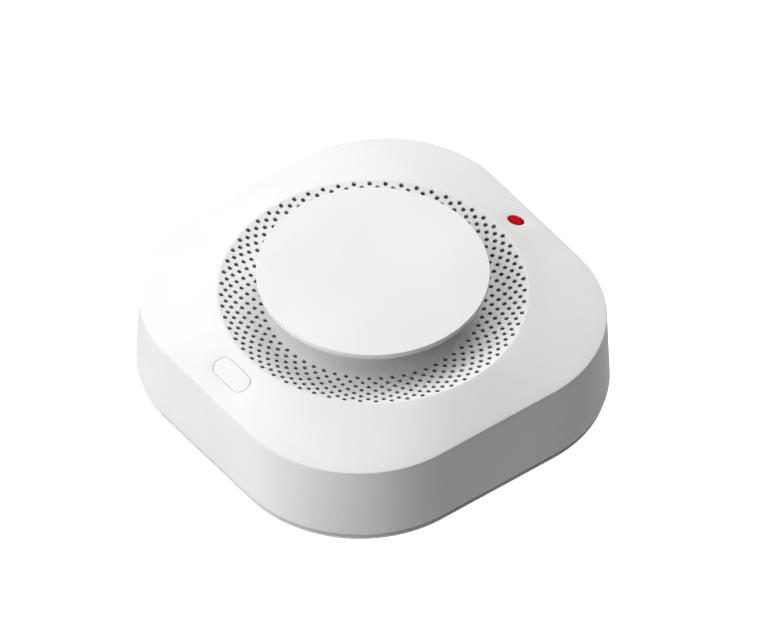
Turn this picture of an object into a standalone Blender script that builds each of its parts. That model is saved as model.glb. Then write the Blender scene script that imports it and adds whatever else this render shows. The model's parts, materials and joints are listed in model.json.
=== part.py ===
"""Square smoke alarm with a perforated dish, a raised cap, a test button and a twist-off mounting plate.

Metres, +Z up. The origin is the centre of the mounting plate's back face, which lies on the ceiling in use.
The test button is on the -X side and the lamp on the +X side.
"""

import math

import bmesh
import bpy
from mathutils import Matrix, Vector
from mathutils.geometry import interpolate_bezier

# Driving dimensions of the casing, in metres
TOP_WIDTH = 0.0850  # across the flats at the crisp upper edge
TOP_CORNER = 0.0280  # corner radius at that edge
DRAFT = 0.0006  # how far the wall spreads on each side, from the edge down to the foot
PLATE_INSET = 0.0008  # the mounting plate's outline inside the casing's foot
PLATE_THICK = 0.0014
GAP = 0.0003  # between pieces that rest on or fit in one another
WALL = 0.0018
WALL_HEIGHT = 0.01767  # from the foot to the crisp edge
RIM_RADIUS = 0.0322  # where the sloping top meets the dish
RIM_RISE = 0.00423  # of that rim above the crisp edge
SLOPE_THICK = 0.00195  # of the sloping top, measured upright

# The dish, its neck and the cap
DISH_DEPTH = 0.0023
DISH_THICK = 0.0014
DISH_POWER = 1.75  # the floor rises outwards as this power of the way to the rim
FLOOR_RADIUS = 0.0190  # lowest circle of the dish
NECK_RADIUS = 0.0165
NECK_FILLET_HEIGHT = 0.0027
SLOT_COUNT = 60
SLOT_WIDTH = 0.0008
SLOT_INNER = 0.0227
SLOT_OUTER = 0.0317
GAUZE_THICK = 0.0004
CAP_RADIUS = 0.02416
CAP_RISE = 0.0060  # of the cap's top above the dish rim
CAP_EDGE = 0.0012
CAP_SPIGOT_LENGTH = 0.0030
CAP_SKIN = 0.0012

# Rear cover, its battery pockets and the bayonet
REAR_THICK = 0.0020
REAR_PLAY = 0.0005  # between the rear cover and the tapered wall
LIP_HEIGHT = 0.0014
LIP_THICK = 0.0012
CELL_RADIUS = 0.00520
CELL_LENGTH = 0.0445
NUB_RADIUS = 0.0018
NUB_LENGTH = 0.0009
POCKET_WALL = 0.0012
POCKET_SIDE_ROOM = 0.00035
SPRING_LENGTH = 0.0028
SPRING_TURNS = 3
SPRING_WIRE = 0.0003  # radius
SPRING_BIG = 0.0032
SPRING_SMALL = 0.0020
CONTACT_THICK = 0.0004
CONTACT_WIDTH = 0.0086
TAB_WIDTH = 0.0024  # solder tab of a contact, through the pocket's roof
TAB_RISE = 0.0016
LEAD_RADIUS = 0.0006
LEAD_HUMP = 0.0015  # how far a lead rises before it bends over the pocket's edge
LEAD_BELOW_ROOF = 0.0018  # where a lead turns straight down to the board, under the pocket's roof
LEAD_BOARD_X = 0.0205
LEAD_BOARD_Y = 0.0185
POCKET_TO_WALL = 0.0034  # between a pocket's outer face and the casing's inner face
HOOK_INNER = 0.0330
HOOK_OUTER = 0.0350
HOOK_STARTS = (22.0, -8.0, 202.0, 172.0)  # degrees where each hook's post begins
HOOK_POST = 6.0
HOOK_LIP = 11.0
HOOK_LIP_THICK = 0.0009
HOOK_PLAY = 0.6
SCREW_SLOT_WIDTH = 0.0040
SCREW_SLOT_LENGTH = 0.0110
SCREW_SLOT_SPACING = 0.0440

# Bosses and screws
BOSS_RADIUS = 0.0030
BOSS_X = 0.0305
BOSS_Y = 0.0246
SCREW_SHANK = 0.00125
SCREW_HEAD_RADIUS = 0.0026
SCREW_HEAD_HEIGHT = 0.0011
SCREW_LENGTH = 0.0095
BOARD_SCREW_SHANK = 0.0010
BOARD_SCREW_HEAD = 0.0019
BOARD_SCREW_HEAD_HEIGHT = 0.0010
BOARD_SCREW_LENGTH = 0.0031
BOARD_POST_RADIUS = 0.0021
BOARD_SCREW_X = 0.0250
BOARD_SCREW_Y = 0.0170

# Circuit board and what it carries
BOARD_THICK = 0.0012
BOARD_CLEAR = 0.0019  # between the rear cover and the board
BOARD_WIDTH = 0.0410
BOARD_CORNER = 0.0090
BOARD_TO_WALL = 0.0010
SWITCH_SIDE = 0.0060
SWITCH_HEIGHT = 0.0035
SWITCH_X = 0.0072  # from the crisp edge inwards
PLUNGER_RADIUS = 0.0016
PLUNGER_DEEP = 0.0012  # of the plunger inside the switch
PLUNGER_WELL = 0.0023
LED_RADIUS = 0.0015
LED_HEIGHT = 0.0053
LED_FLANGE = 0.0019
SOUNDER_X = 0.0270
SOUNDER_RADIUS = 0.0076
SOUNDER_BELOW_EDGE = 0.00377  # of the sounder's top under the crisp edge
SOUNDER_SKIN = 0.0010
SOUNDER_HOLE = 0.0015
SOUNDER_BASE = 0.0014
PIEZO_RADIUS = 0.0058
PIEZO_THICK = 0.0004
CHIP_SIDE = 0.0050
CHIP_HEIGHT = 0.0009
CHIP_AT = (-0.0255, -0.0060)
CAPACITOR_RADIUS = 0.0031
CAPACITOR_HEIGHT = 0.0070
CAPACITOR_AT = (-0.0255, 0.0055)
COIL_SIDE = 0.0050
COIL_HEIGHT = 0.0040
COIL_AT = (0.0195, -0.0135)

# Optical chamber
CHAMBER_RADIUS = 0.0180
CHAMBER_BASE = 0.0015
CHAMBER_ROOF = 0.0012
VANE_COUNT = 20
VANE_THICK = 0.0008
VANE_LENGTH = 0.0046
VANE_RADIUS = 0.0150  # of the circle through the vanes' middles
VANE_TILT = 48.0
SCREEN_THICK = 0.00025
SCREEN_WINDOWS = 16
OPTIC_RADIUS = 0.0015
OPTIC_LENGTH = 0.0050
OPTIC_FROM_CENTRE = 0.0095
OPTIC_ANGLES = {"ir_emitter": 115.0, "photodiode": 245.0}

# Button and lamp, on the sloping top
BUTTON_FROM_EDGE = 0.0059
BUTTON_WIDTH = 0.00415
BUTTON_LENGTH = 0.0102
BUTTON_GAP = 0.00022
BUTTON_FLANGE = 0.0008
BUTTON_FLANGE_THICK = 0.0010
BUTTON_STEM = 0.0016
BUTTON_STEM_LENGTH = 0.0012
LAMP_FROM_EDGE = 0.0055
LAMP_RADIUS = 0.001765
LAMP_GAP = 0.0002
LAMP_FLANGE = 0.0008
LAMP_FLANGE_THICK = 0.0008

# Fineness of the round shapes
LOFT_POINTS = 64
DISH_STEPS = 3
NECK_STEPS = 3
CORNER_SEGMENTS = 10
ROUND_STEPS = 24
SMALL_STEPS = 16
WIRE_POINTS = 10

# Levels worked out from the sizes above
FOOT_Z = PLATE_THICK + GAP
EDGE_Z = FOOT_Z + WALL_HEIGHT
RIM_Z = EDGE_Z + RIM_RISE
FLOOR_Z = RIM_Z - DISH_DEPTH
CAP_TOP_Z = RIM_Z + CAP_RISE
NECK_TOP_Z = CAP_TOP_Z - CAP_EDGE - GAP
REAR_TOP_Z = FOOT_Z + REAR_THICK
BOARD_Z = REAR_TOP_Z + BOARD_CLEAR
BOARD_TOP_Z = BOARD_Z + BOARD_THICK
PARTS_Z = BOARD_TOP_Z + GAP
TOP_HALF = TOP_WIDTH / 2
FOOT_HALF = TOP_HALF + DRAFT
FOOT_CORNER = TOP_CORNER + DRAFT
INNER_HALF = TOP_HALF - WALL
CELL_Y = INNER_HALF - POCKET_TO_WALL - POCKET_WALL - POCKET_SIDE_ROOM - CELL_RADIUS
CELL_Z = FOOT_Z + GAP + CELL_RADIUS
POCKET_HALF = (CELL_LENGTH + SPRING_LENGTH + 2 * CONTACT_THICK + 4 * GAP) / 2
POCKET_SIDE = CELL_RADIUS + POCKET_SIDE_ROOM
POCKET_TOP_Z = CELL_Z + CELL_RADIUS + GAP
ROOF_Z = POCKET_TOP_Z + POCKET_WALL
CONTACT_X = POCKET_HALF - GAP - CONTACT_THICK / 2
BUTTON_X = -(TOP_HALF - BUTTON_FROM_EDGE)
PLUNGER_X = -(TOP_HALF - SWITCH_X)
LAMP_X = TOP_HALF - LAMP_FROM_EDGE

WHITE = (0.83, 0.83, 0.83)
GREY = (0.60, 0.60, 0.60)
BLACK = (0.02, 0.02, 0.02)
RED = (0.65, 0.0, 0.01)
GREEN = (0.03, 0.16, 0.06)
STEEL = (0.62, 0.62, 0.60)
BRASS = (0.75, 0.57, 0.24)
BLUE = (0.05, 0.10, 0.28)
SMOKED = (0.10, 0.06, 0.12)

for old in list(bpy.data.objects):
    bpy.data.objects.remove(old)
PARTS = bpy.data.collections.new("smoke_alarm")
CUTTERS = bpy.data.collections.new("cutters")
for group in (PARTS, CUTTERS):
    bpy.context.scene.collection.children.link(group)


# Materials and object helpers


def finish(colour, roughness=0.5, metallic=0.0):
    """A Principled material of one colour, shared by the pieces that ask for the same one."""
    name = "finish_%.2f_%.2f_%.2f_%.1f" % (*colour, metallic)
    made = bpy.data.materials.get(name)
    if made is None:
        made = bpy.data.materials.new(name)
        made.use_nodes = True
        shader = made.node_tree.nodes["Principled BSDF"]
        shader.inputs["Base Color"].default_value = (*colour, 1.0)
        shader.inputs["Roughness"].default_value = roughness
        shader.inputs["Metallic"].default_value = metallic
    return made


def add_object(name, mesh, material=None, at=(0, 0, 0)):
    """An object in the alarm's collection, or a hidden helper when it has no material."""
    obj = bpy.data.objects.new(name, mesh)
    obj.location = at
    if material is None:
        CUTTERS.objects.link(obj)
        obj.hide_render = True
        obj.display_type = "WIRE"
    else:
        PARTS.objects.link(obj)
        mesh.materials.append(material)
    return obj


def mesh_from(bm, name):
    bmesh.ops.recalc_face_normals(bm, faces=bm.faces)
    mesh = bpy.data.meshes.new(name)
    bm.to_mesh(mesh)
    bm.free()
    mesh.shade_smooth()
    mesh.set_sharp_from_angle(angle=math.radians(30))
    return mesh


def boolean(target, helper, operation="DIFFERENCE"):
    modifier = target.modifiers.new(helper.name, "BOOLEAN")
    modifier.operation = operation
    modifier.object = helper


# Shape helpers


def block(name, size, at, material=None):
    """A box of the given size, its middle at a point."""
    bm = bmesh.new()
    bmesh.ops.create_cube(bm, size=1.0)
    bmesh.ops.scale(bm, vec=size, verts=bm.verts)
    return add_object(name, mesh_from(bm, name), material, at)


def rod(name, radius, low, high, at, material=None, steps=SMALL_STEPS):
    """An upright cylinder between two heights."""
    bm = bmesh.new()
    bmesh.ops.create_cone(
        bm, cap_ends=True, segments=steps, radius1=radius, radius2=radius, depth=high - low
    )
    return add_object(name, mesh_from(bm, name), material, (at[0], at[1], (low + high) / 2))


def slab(name, half_x, half_y, corner, low, high, material=None, at=(0, 0)):
    """An upright prism with a rounded rectangle for its outline."""
    bm = bmesh.new()
    bmesh.ops.create_cube(bm, size=1.0)
    bmesh.ops.scale(bm, vec=(2 * half_x, 2 * half_y, high - low), verts=bm.verts)
    upright = [e for e in bm.edges if abs(e.verts[0].co.z - e.verts[1].co.z) > (high - low) / 2]
    bmesh.ops.bevel(
        bm, geom=upright, offset=corner, segments=CORNER_SEGMENTS, profile=0.5, affect="EDGES"
    )
    return add_object(name, mesh_from(bm, name), material, (*at, (low + high) / 2))


def turned(name, profile, material=None, at=(0, 0), steps=ROUND_STEPS, ring=False):
    """A turned solid. Its (radius, height) points run down the outer side, and a ring closes on itself."""
    mesh = bpy.data.meshes.new(name)
    edges = [(i, i + 1) for i in range(len(profile) - 1)]
    if ring:
        edges.append((len(profile) - 1, 0))
    mesh.from_pydata([(radius, 0, height) for radius, height in profile], edges, [])
    obj = add_object(name, mesh, material, (*at, 0))
    screw = obj.modifiers.new("turn", "SCREW")
    screw.steps = screw.render_steps = steps
    screw.use_merge_vertices = True
    screw.merge_threshold = 0.00001
    return obj


def sector(name, inner, outer, start, end, low, high):
    """A helper shaped as a piece of a ring, between two angles in degrees."""
    steps = max(2, math.ceil((end - start) / 5))
    bm = bmesh.new()
    loop = []
    for radius, turn in ((inner, 1), (outer, -1)):
        for step in range(steps + 1)[::turn]:
            angle = math.radians(start + (end - start) * step / steps)
            loop.append(bm.verts.new((radius * math.cos(angle), radius * math.sin(angle), low)))
    made = bmesh.ops.extrude_face_region(bm, geom=[bm.faces.new(loop)])
    raised = [v for v in made["geom"] if isinstance(v, bmesh.types.BMVert)]
    bmesh.ops.translate(bm, vec=(0, 0, high - low), verts=raised)
    return add_object(name, mesh_from(bm, name))


# The casing's outline and heights


def outline_radius(half, corner, angle):
    """How far a rounded square reaches from its centre, at a polar angle."""
    angle = angle % (math.pi / 2)
    angle = min(angle, math.pi / 2 - angle)
    straight = half - corner
    if half * math.tan(angle) <= straight:
        return half / math.cos(angle)
    along = straight * (math.cos(angle) + math.sin(angle))
    return along + math.sqrt(along**2 - 2 * straight**2 + corner**2)


def outline_loop(half, corner, height):
    loop = []
    for step in range(LOFT_POINTS):
        angle = 2 * math.pi * step / LOFT_POINTS
        reach = outline_radius(half, corner, angle)
        loop.append((reach * math.cos(angle), reach * math.sin(angle), height))
    return loop


def circle_loop(radius, height):
    return outline_loop(radius, radius, height)


def slope_height(x, y):
    """Height of the sloping top over a point between the rim and the crisp edge."""
    reach = outline_radius(TOP_HALF, TOP_CORNER, math.atan2(y, x))
    return EDGE_Z + RIM_RISE * (reach - math.hypot(x, y)) / (reach - RIM_RADIUS)


def dish_height(radius):
    share = (radius - FLOOR_RADIUS) / (RIM_RADIUS - FLOOR_RADIUS)
    return FLOOR_Z + DISH_DEPTH * max(share, 0.0) ** DISH_POWER


def dish_radii():
    """Radii of the front cover's loops from the rim to the floor of the dish."""
    return [RIM_RADIUS + (FLOOR_RADIUS - RIM_RADIUS) * i / DISH_STEPS for i in range(DISH_STEPS + 1)]


def dish_underside():
    """(radius, height) corners of the dish's inner face from the rim inwards."""
    under = [(radius, dish_height(radius) - DISH_THICK) for radius in dish_radii()[1:]]
    return [(RIM_RADIUS, RIM_Z - SLOPE_THICK)] + under


def follow_slope(obj, above):
    """Shifts the upper vertices of an upright prism so that its top lies along the sloping top."""
    middle = max(v.co.z for v in obj.data.vertices) - 1e-6
    for vertex in obj.data.vertices:
        if vertex.co.z > middle:
            x, y = vertex.co.x + obj.location.x, vertex.co.y + obj.location.y
            vertex.co.z = slope_height(x, y) + above - obj.location.z


# Casing pieces


def front_cover():
    """One moulding: tapered wall, sloping top, perforated dish and the neck that carries the cap."""
    neck_reach = FLOOR_RADIUS - NECK_RADIUS
    neck_z = FLOOR_Z + NECK_FILLET_HEIGHT
    turns = [math.pi / 2 * i / NECK_STEPS for i in range(1, NECK_STEPS + 1)]
    loops = [outline_loop(FOOT_HALF, FOOT_CORNER, FOOT_Z), outline_loop(TOP_HALF, TOP_CORNER, EDGE_Z)]
    loops += [circle_loop(r, dish_height(r)) for r in dish_radii()]
    for turn in turns:
        loops.append(
            circle_loop(
                FLOOR_RADIUS - neck_reach * math.sin(turn),
                neck_z - NECK_FILLET_HEIGHT * math.cos(turn),
            )
        )
    loops.append(circle_loop(NECK_RADIUS, NECK_TOP_Z))
    loops.append(circle_loop(NECK_RADIUS - DISH_THICK, NECK_TOP_Z))
    for turn in turns[::-1]:
        loops.append(
            circle_loop(
                FLOOR_RADIUS - (neck_reach + DISH_THICK) * math.sin(turn),
                neck_z - (NECK_FILLET_HEIGHT + DISH_THICK) * math.cos(turn),
            )
        )
    loops += [circle_loop(r, z) for r, z in dish_underside()[::-1]]
    side_slope = RIM_RISE / (TOP_HALF - RIM_RADIUS)
    inner_edge_z = EDGE_Z + side_slope * WALL - SLOPE_THICK
    loops.append(outline_loop(INNER_HALF, TOP_CORNER - WALL, inner_edge_z))
    loops.append(outline_loop(FOOT_HALF - WALL, FOOT_CORNER - WALL, FOOT_Z))

    bm = bmesh.new()
    rows = [[bm.verts.new(point) for point in loop] for loop in loops]
    for row, after in zip(rows, rows[1:] + rows[:1]):
        for i in range(LOFT_POINTS):
            j = (i + 1) % LOFT_POINTS
            bm.faces.new((row[i], row[j], after[j], after[i]))
    cover = add_object("front_cover", mesh_from(bm, "front_cover"), finish(WHITE, 0.45))

    for x, y in corners(BOSS_X, BOSS_Y):
        top = slope_height(x, y) - SLOPE_THICK / 2
        boss = rod(f"boss_{x:+.3f}_{y:+.3f}", BOSS_RADIUS, REAR_TOP_Z + GAP, top, (x, y))
        boolean(cover, boss, "UNION")
        pilot_top = FOOT_Z + SCREW_HEAD_HEIGHT + SCREW_LENGTH + 2 * GAP
        pilot = rod(f"pilot_{x:+.3f}_{y:+.3f}", SCREW_SHANK + GAP, 0, pilot_top, (x, y))
        boolean(cover, pilot)
    boolean(cover, inlet_slots())
    boolean(cover, button_prism("button_hole", BUTTON_GAP, EDGE_Z - WALL_HEIGHT / 2, WALL))
    boolean(cover, rod("lamp_hole", LAMP_RADIUS + LAMP_GAP, EDGE_Z - WALL, RIM_Z, (LAMP_X, 0)))


def inlet_slots():
    """Radial slots, one for each column of perforations in the dish."""
    bm = bmesh.new()
    middle = (SLOT_INNER + SLOT_OUTER) / 2
    for i in range(SLOT_COUNT):
        made = bmesh.ops.create_cube(bm, size=1.0)
        size = (SLOT_OUTER - SLOT_INNER, SLOT_WIDTH, 2 * (RIM_Z - FLOOR_Z + DISH_THICK))
        bmesh.ops.scale(bm, vec=size, verts=made["verts"])
        bmesh.ops.translate(bm, vec=(middle, 0, FLOOR_Z), verts=made["verts"])
        turn = Matrix.Rotation(2 * math.pi * (i + 0.5) / SLOT_COUNT, 3, "Z")
        bmesh.ops.rotate(bm, matrix=turn, verts=made["verts"])
    return add_object("inlet_slots", mesh_from(bm, "inlet_slots"))


def inlet_gauze():
    """Fine black gauze under the dish, behind the perforations."""
    upper = [(radius, height - GAP) for radius, height in dish_underside()]
    lower = [(radius, height - GAUZE_THICK) for radius, height in upper]
    turned("inlet_gauze", lower + upper[::-1], finish(BLACK, 0.9), steps=2 * ROUND_STEPS, ring=True)


def cover_cap():
    """The plain raised disc, with a hollow spigot that plugs into the neck."""
    spigot = NECK_RADIUS - DISH_THICK - GAP
    low = CAP_TOP_Z - CAP_EDGE
    profile = [
        (0, CAP_TOP_Z),
        (CAP_RADIUS - CAP_EDGE / 4, CAP_TOP_Z),
        (CAP_RADIUS, CAP_TOP_Z - CAP_EDGE / 4),
        (CAP_RADIUS, low),
        (spigot, low),
        (spigot, low - CAP_SPIGOT_LENGTH),
        (spigot - CAP_SKIN, low - CAP_SPIGOT_LENGTH),
        (spigot - CAP_SKIN, low),
        (0, low),
    ]
    turned("cover_cap", profile, finish(WHITE, 0.45), steps=2 * ROUND_STEPS)


def corners(x, y):
    return [(sx * x, sy * y) for sx in (1, -1) for sy in (1, -1)]


def rear_cover():
    """Floor plate inside the wall's foot, with two battery pockets, board posts and bayonet slots."""
    half = FOOT_HALF - WALL - REAR_PLAY
    corner = FOOT_CORNER - WALL - REAR_PLAY
    cover = slab("rear_cover", half, half, corner, FOOT_Z, REAR_TOP_Z, finish(WHITE, 0.5))

    # The draft narrows the wall upwards, so the lip stands back from it
    lip_half = half - DRAFT
    lip = slab("lip", lip_half, lip_half, corner - DRAFT, FOOT_Z + GAP, REAR_TOP_Z + LIP_HEIGHT)
    lip_core = slab(
        "lip_core",
        lip_half - LIP_THICK,
        lip_half - LIP_THICK,
        corner - DRAFT - LIP_THICK,
        0,
        EDGE_Z,
    )
    boolean(lip, lip_core)
    boolean(cover, lip, "UNION")

    outer_size = (
        2 * (POCKET_HALF + POCKET_WALL),
        2 * (POCKET_SIDE + POCKET_WALL),
        ROOF_Z - FOOT_Z - GAP,
    )
    inner_size = (2 * POCKET_HALF, 2 * POCKET_SIDE, 2 * POCKET_TOP_Z)
    tab_size = (CONTACT_THICK + 2 * GAP, TAB_WIDTH + 2 * GAP, 2 * ROOF_Z)
    for side in (1, -1):
        y = side * CELL_Y
        outer = block(f"pocket_outer_{side}", outer_size, (0, y, (FOOT_Z + GAP + ROOF_Z) / 2))
        boolean(cover, outer, "UNION")
        boolean(cover, block(f"pocket_inner_{side}", inner_size, (0, y, 0)))
        for end in (1, -1):
            boolean(cover, block(f"tab_slot_{side}_{end}", tab_size, (end * CONTACT_X, y, ROOF_Z)))
    for x, y in corners(BOARD_SCREW_X, BOARD_SCREW_Y):
        post = rod(f"post_{x:+.3f}_{y:+.3f}", BOARD_POST_RADIUS, FOOT_Z + GAP, BOARD_Z - GAP, (x, y))
        boolean(cover, post, "UNION")
        pilot = rod(
            f"post_pilot_{x:+.3f}_{y:+.3f}",
            BOARD_SCREW_SHANK + GAP / 2,
            BOARD_TOP_Z + GAP - BOARD_SCREW_LENGTH - GAP,
            EDGE_Z,
            (x, y),
        )
        boolean(cover, pilot)
    for x, y in corners(BOSS_X, BOSS_Y):
        boolean(cover, rod(f"hole_{x:+.3f}_{y:+.3f}", SCREW_SHANK + GAP, 0, EDGE_Z, (x, y)))
        sink_top = FOOT_Z + SCREW_HEAD_HEIGHT + GAP
        sink = rod(f"sink_{x:+.3f}_{y:+.3f}", SCREW_HEAD_RADIUS + GAP, 0, sink_top, (x, y))
        boolean(cover, sink)
    for i, start in enumerate(HOOK_STARTS):
        slot = sector(
            f"bayonet_slot_{i}",
            HOOK_INNER - GAP,
            HOOK_OUTER + GAP,
            start - HOOK_LIP - 2 * HOOK_PLAY,
            start + HOOK_POST + HOOK_PLAY,
            0,
            REAR_TOP_Z + WALL,
        )
        boolean(cover, slot)


def mounting_plate():
    """Flat plate that stays on the ceiling: two screw slots and four bayonet hooks."""
    half = FOOT_HALF - PLATE_INSET
    corner = FOOT_CORNER - PLATE_INSET
    plate = slab("mounting_plate", half, half, corner, 0, PLATE_THICK, finish(WHITE, 0.5))
    lip_z = REAR_TOP_Z + GAP
    for i, start in enumerate(HOOK_STARTS):
        end = start + HOOK_POST
        post = sector(
            f"hook_post_{i}", HOOK_INNER, HOOK_OUTER, start, end, PLATE_THICK / 2, lip_z + HOOK_LIP_THICK
        )
        lip = sector(
            f"hook_lip_{i}",
            HOOK_INNER,
            HOOK_OUTER,
            end - HOOK_POST / 2,
            end + HOOK_LIP,
            lip_z,
            lip_z + HOOK_LIP_THICK,
        )
        boolean(plate, post, "UNION")
        boolean(plate, lip, "UNION")
    for side in (1, -1):
        slot = slab(
            f"screw_slot_{side}",
            SCREW_SLOT_LENGTH / 2,
            SCREW_SLOT_WIDTH / 2,
            SCREW_SLOT_WIDTH / 2 - GAP / 10,
            -PLATE_THICK,
            2 * PLATE_THICK,
            at=(side * SCREW_SLOT_SPACING / 2, 0),
        )
        boolean(plate, slot)


def housing_screws():
    """Self-tapping screws from the back, through the rear cover into the front cover's bosses."""
    head_top = FOOT_Z + SCREW_HEAD_HEIGHT
    for number, (x, y) in enumerate(corners(BOSS_X, BOSS_Y), 1):
        profile = [
            (0, head_top + SCREW_LENGTH),
            (SCREW_SHANK / 2, head_top + SCREW_LENGTH - SCREW_SHANK / 2),
            (SCREW_SHANK, head_top + SCREW_LENGTH - 2 * SCREW_SHANK),
            (SCREW_SHANK, head_top),
            (SCREW_HEAD_RADIUS, head_top),
            (SCREW_HEAD_RADIUS, FOOT_Z + GAP),
            (0, FOOT_Z + GAP),
        ]
        turned(f"housing_screw_{number}", profile, finish(STEEL, 0.3, 1.0), (x, y), SMALL_STEPS)


# Button and lamp


def button_prism(name, margin, low, above, material=None):
    """Upright pill whose top follows the sloping top, grown all round by a margin."""
    half_x, half_y = BUTTON_WIDTH / 2 + margin, BUTTON_LENGTH / 2 + margin
    obj = slab(name, half_x, half_y, half_x - GAP / 10, low, RIM_Z, material, (BUTTON_X, 0))
    follow_slope(obj, above)
    return obj


def flange_top_z(x_outer):
    """Level just under the sloping top's inner face, at the flange edge nearest the wall."""
    return slope_height(x_outer, 0) - SLOPE_THICK - GAP


def test_button():
    outer_x = BUTTON_X - BUTTON_WIDTH / 2 - BUTTON_FLANGE
    flange_top = flange_top_z(outer_x)
    flange_low = flange_top - BUTTON_FLANGE_THICK
    button = button_prism("test_button", 0.0, flange_top - GAP, 0.0, finish(WHITE, 0.45))
    half_x = BUTTON_WIDTH / 2 + BUTTON_FLANGE
    flange = slab(
        "button_flange",
        half_x,
        BUTTON_LENGTH / 2 + BUTTON_FLANGE,
        half_x - GAP / 10,
        flange_low,
        flange_top,
        at=(BUTTON_X, 0),
    )
    boolean(button, flange, "UNION")
    stem_low = flange_low - BUTTON_STEM_LENGTH
    boolean(button, rod("button_stem", BUTTON_STEM, stem_low, flange_top, (PLUNGER_X, 0)), "UNION")
    return stem_low


def tact_switch(stem_low):
    """Switch on the board and its plunger, which ends just under the button's stem."""
    top = PARTS_Z + SWITCH_HEIGHT
    size = (SWITCH_SIDE, SWITCH_SIDE, SWITCH_HEIGHT)
    body = block("switch_body", size, (PLUNGER_X, 0, (PARTS_Z + top) / 2), finish(BLACK, 0.5))
    boolean(body, rod("plunger_well", PLUNGER_RADIUS + GAP, top - PLUNGER_WELL, EDGE_Z, (PLUNGER_X, 0)))
    rod(
        "switch_plunger",
        PLUNGER_RADIUS,
        top - PLUNGER_DEEP,
        stem_low - GAP,
        (PLUNGER_X, 0),
        finish(GREY, 0.4),
    )


def lamp():
    """Red light pipe through the sloping top, over a small lamp on the board."""
    flange_top = flange_top_z(LAMP_X + LAMP_RADIUS + LAMP_FLANGE)
    led_top = PARTS_Z + LED_HEIGHT
    pipe = rod("lamp_lens", LAMP_RADIUS, led_top + GAP, RIM_Z, (LAMP_X, 0), finish(RED, 0.15))
    follow_slope(pipe, 0.0)
    flange = rod(
        "lamp_flange", LAMP_RADIUS + LAMP_FLANGE, flange_top - LAMP_FLANGE_THICK, flange_top, (LAMP_X, 0)
    )
    boolean(pipe, flange, "UNION")
    shoulder = PARTS_Z + LED_FLANGE - LED_RADIUS
    dome = [
        (LED_RADIUS * math.sin(t), led_top - LED_RADIUS + LED_RADIUS * math.cos(t))
        for t in (math.radians(a) for a in (0, 30, 60, 90))
    ]
    profile = dome + [(LED_RADIUS, shoulder), (LED_FLANGE, shoulder), (LED_FLANGE, PARTS_Z), (0, PARTS_Z)]
    turned("status_led", profile, finish(RED, 0.2), (LAMP_X, 0), SMALL_STEPS)


# Board and its components


def main_board():
    half_x = INNER_HALF - BOARD_TO_WALL
    board = slab(
        "main_board", half_x, BOARD_WIDTH / 2, BOARD_CORNER, BOARD_Z, BOARD_TOP_Z, finish(GREEN, 0.4)
    )
    for number, (x, y) in enumerate(corners(BOARD_SCREW_X, BOARD_SCREW_Y), 1):
        boolean(board, rod(f"board_hole_{number}", BOARD_SCREW_SHANK + GAP, 0, EDGE_Z, (x, y)))
        head_low = BOARD_TOP_Z + GAP
        profile = [
            (0, head_low + BOARD_SCREW_HEAD_HEIGHT),
            (BOARD_SCREW_HEAD, head_low + BOARD_SCREW_HEAD_HEIGHT),
            (BOARD_SCREW_HEAD, head_low),
            (BOARD_SCREW_SHANK, head_low),
            (BOARD_SCREW_SHANK, head_low - BOARD_SCREW_LENGTH + BOARD_SCREW_SHANK),
            (BOARD_SCREW_SHANK / 3, head_low - BOARD_SCREW_LENGTH),
            (0, head_low - BOARD_SCREW_LENGTH),
        ]
        turned(f"board_screw_{number}", profile, finish(STEEL, 0.3, 1.0), (x, y), SMALL_STEPS)


def board_components():
    chip_z = PARTS_Z + CHIP_HEIGHT / 2
    block("control_chip", (CHIP_SIDE, CHIP_SIDE, CHIP_HEIGHT), (*CHIP_AT, chip_z), finish(BLACK, 0.5))
    coil_z = PARTS_Z + COIL_HEIGHT / 2
    block("step_up_coil", (COIL_SIDE, COIL_SIDE, COIL_HEIGHT), (*COIL_AT, coil_z), finish(GREY, 0.6))
    top = PARTS_Z + CAPACITOR_HEIGHT
    bead = CAPACITOR_RADIUS / 8
    profile = [
        (0, top),
        (CAPACITOR_RADIUS - bead, top),
        (CAPACITOR_RADIUS, top - bead),
        (CAPACITOR_RADIUS, PARTS_Z),
        (0, PARTS_Z),
    ]
    turned("supply_capacitor", profile, finish(BLUE, 0.4), CAPACITOR_AT, SMALL_STEPS)


def sounder():
    """Black sounder can with its piezo disc and base."""
    at = (SOUNDER_X, 0)
    top = EDGE_Z - SOUNDER_BELOW_EDGE
    bore = SOUNDER_RADIUS - SOUNDER_SKIN
    seat = PARTS_Z + SOUNDER_BASE
    case = [
        (SOUNDER_HOLE, top),
        (SOUNDER_RADIUS, top),
        (SOUNDER_RADIUS, PARTS_Z),
        (bore, PARTS_Z),
        (bore, top - SOUNDER_SKIN),
        (SOUNDER_HOLE, top - SOUNDER_SKIN),
    ]
    turned("sounder_case", case, finish(BLACK, 0.5), at, ring=True)
    base = [(0, seat), (bore - GAP, seat), (bore - GAP, PARTS_Z), (0, PARTS_Z)]
    turned("sounder_base", base, finish(BLACK, 0.6), at)
    disc_low = seat + GAP
    disc = [
        (0, disc_low + PIEZO_THICK),
        (PIEZO_RADIUS, disc_low + PIEZO_THICK),
        (PIEZO_RADIUS, disc_low),
        (0, disc_low),
    ]
    turned("piezo_disc", disc, finish(BRASS, 0.3, 1.0), at)


# Optical chamber


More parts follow.
